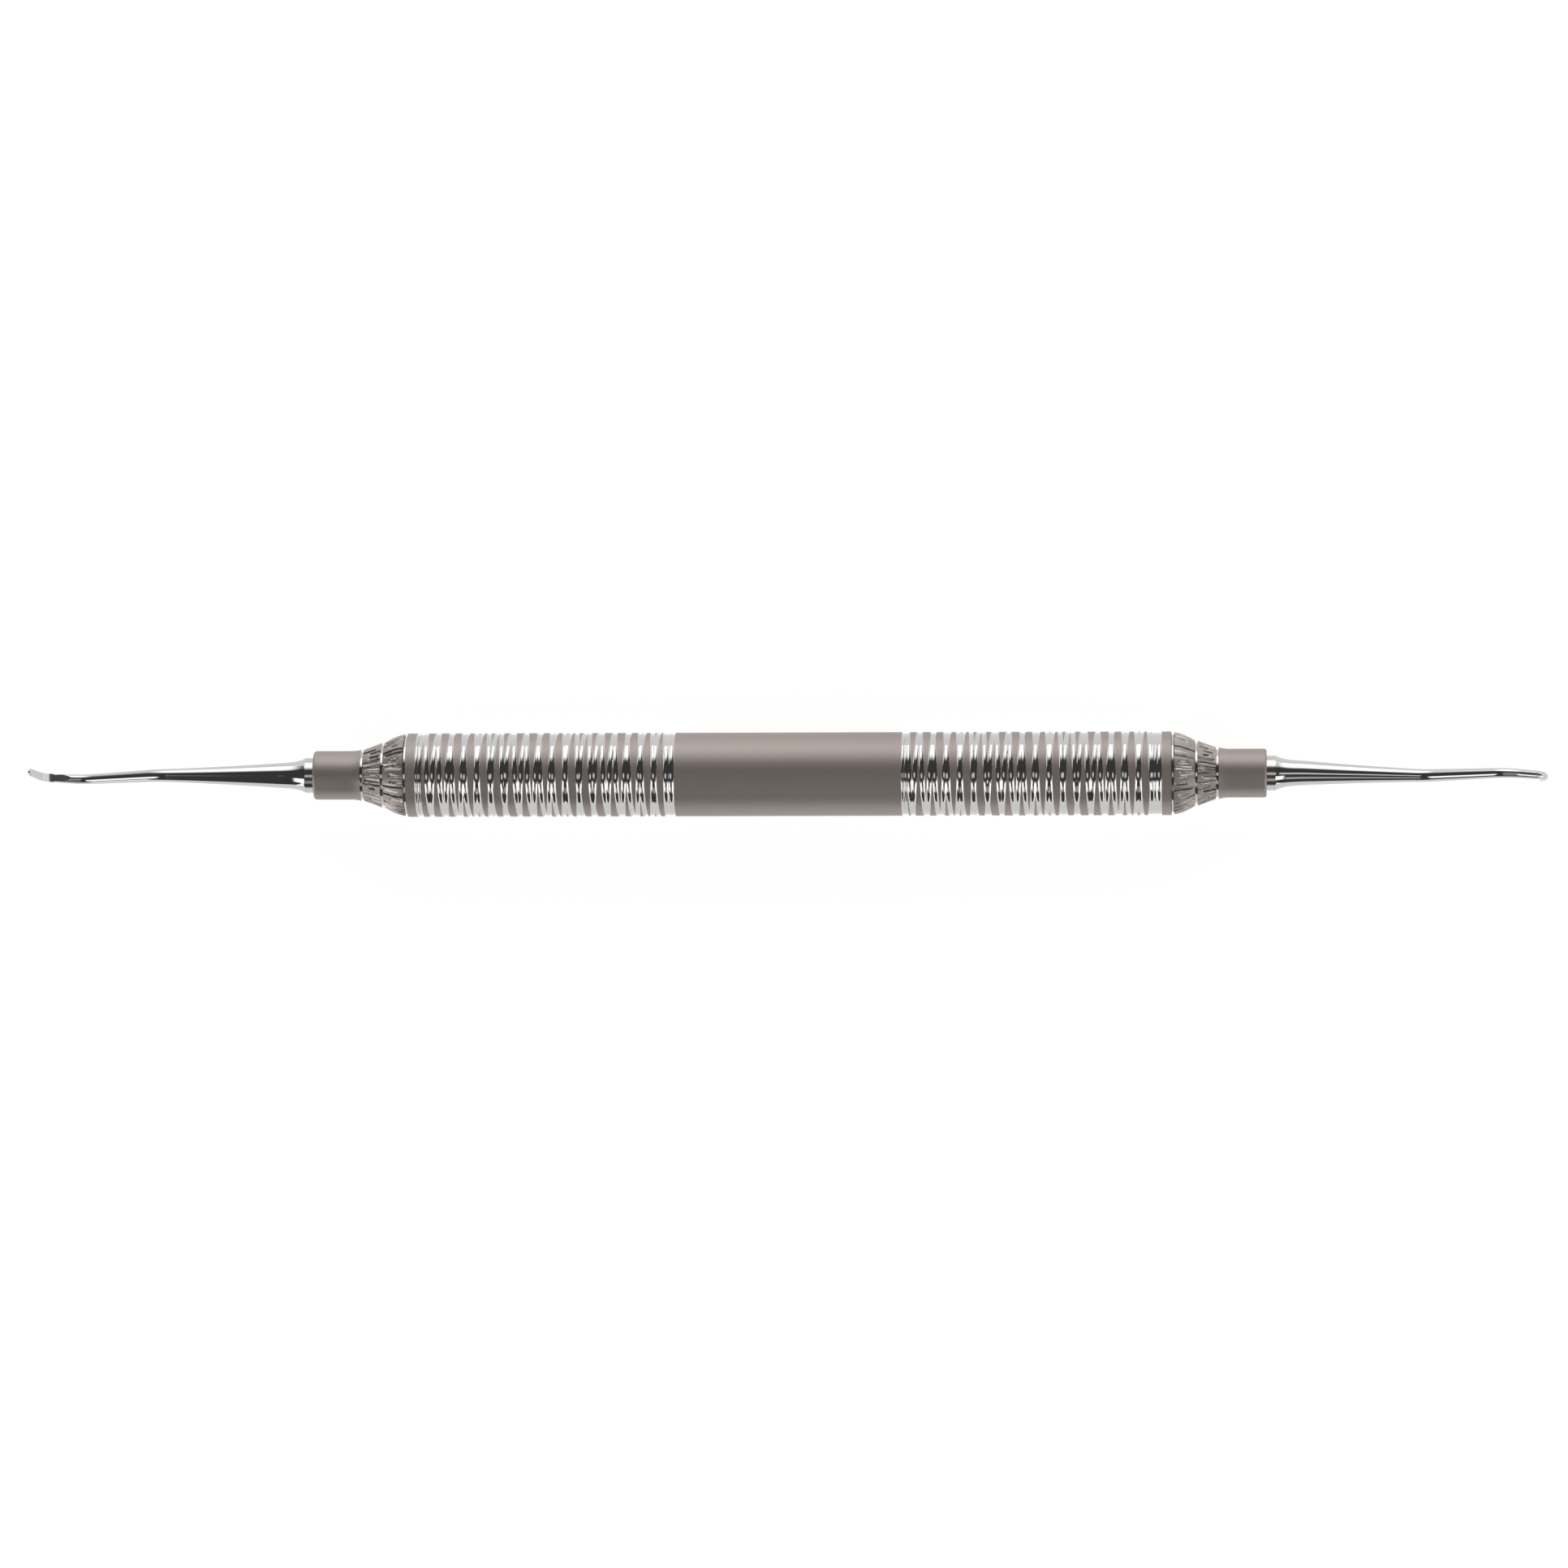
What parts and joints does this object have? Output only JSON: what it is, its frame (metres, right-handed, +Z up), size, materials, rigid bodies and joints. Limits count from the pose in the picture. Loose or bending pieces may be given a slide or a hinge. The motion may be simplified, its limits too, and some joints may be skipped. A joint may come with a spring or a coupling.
{
  "type": "dental scaler",
  "caption": "Double-ended dental scaler: a round steel handle with grooved grips and knurled cones, and at each end a thin bent shank with a small hooked blade.",
  "frame": {"origin": "middle of the handle, on its axis", "axes": "+X along the handle to the right-hand working end, +Z up from the surface it lies on, +Y across the handle"},
  "size_m": [0.1731, 0.0094, 0.0094],
  "materials": {
    "handle_steel": "bead-blasted satin stainless steel, polished in the grooves",
    "ferrule_steel": "satin stainless steel, knurled cones between polished rings",
    "blade_steel": "mirror-polished hardened stainless steel"
  },
  "bodies": {
    "root": {"handle_tube": "handle_steel", "ferrule_right": "ferrule_steel", "ferrule_left": "ferrule_steel", "working_end_right": "blade_steel", "working_end_left": "blade_steel"}
  },
  "joints": []
}
